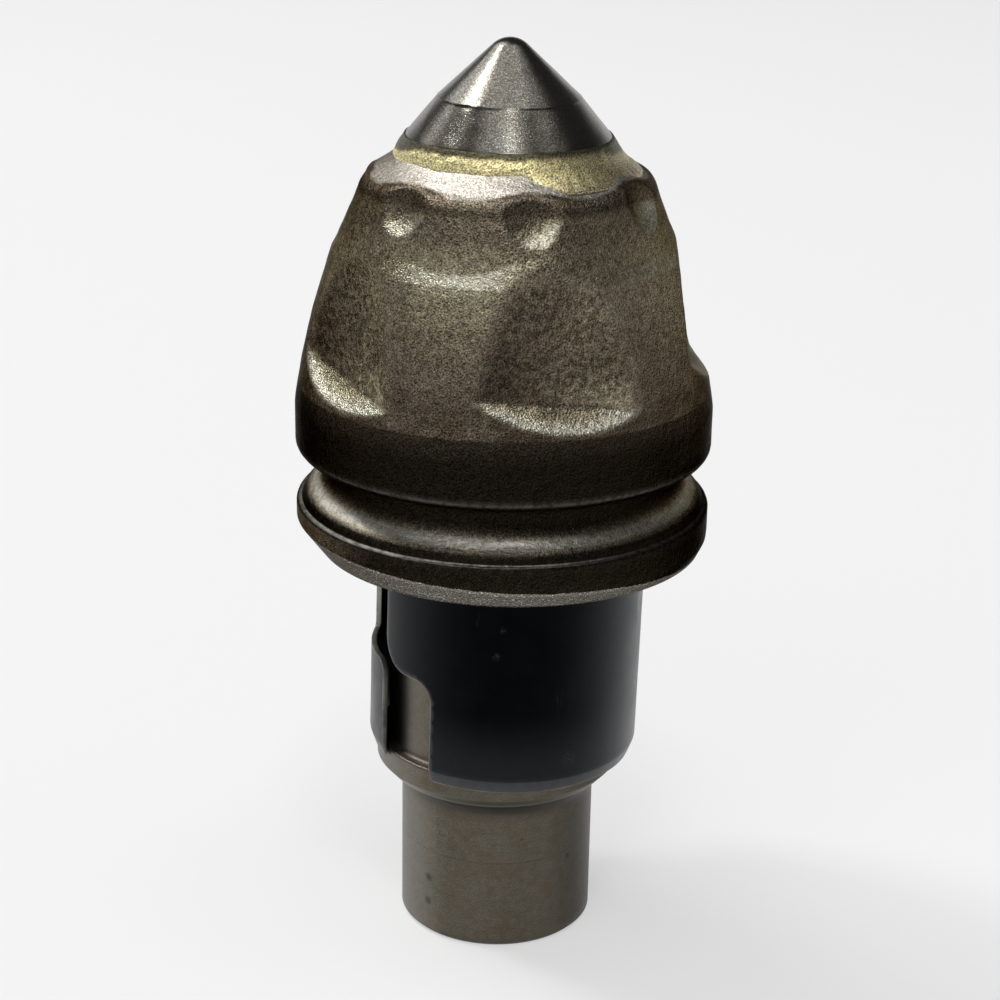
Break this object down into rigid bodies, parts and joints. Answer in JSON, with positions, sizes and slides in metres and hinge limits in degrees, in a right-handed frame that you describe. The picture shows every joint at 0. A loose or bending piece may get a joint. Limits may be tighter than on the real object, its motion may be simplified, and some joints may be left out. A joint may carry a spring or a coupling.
{
  "type": "coal cutter pick",
  "caption": "Round-shank conical cutter pick: forged head with brazed carbide point, puller groove, flange, stepped shank and slit spring sleeve.",
  "frame": {"origin": "centre of the flat end of the tail, on the shank's axis", "axes": "+Z along the shank towards the carbide point; -Y is the side that the picture shows, with the sleeve's slit towards -X"},
  "size_m": [0.0622, 0.0622, 0.138],
  "materials": {
    "forged_steel": "shot-blasted forging, olive bronze heat tint",
    "tungsten_carbide": "satin sintered carbide",
    "braze_alloy": "rough run-out braze",
    "spring_steel": "blued spring steel, satin"
  },
  "bodies": {
    "pick": {"pick_body": "forged_steel", "carbide_tip": "tungsten_carbide", "braze_joint": "braze_alloy"},
    "sleeve": {"retainer_sleeve": "spring_steel"}
  },
  "joints": [
    {"name": "sleeve_turn", "type": "hinge", "parent": "pick", "child": "sleeve", "pos_m": [0.00096, 0, 0.0469], "axis": [0.0175, 0, 0.9998], "continuous": true}
  ]
}
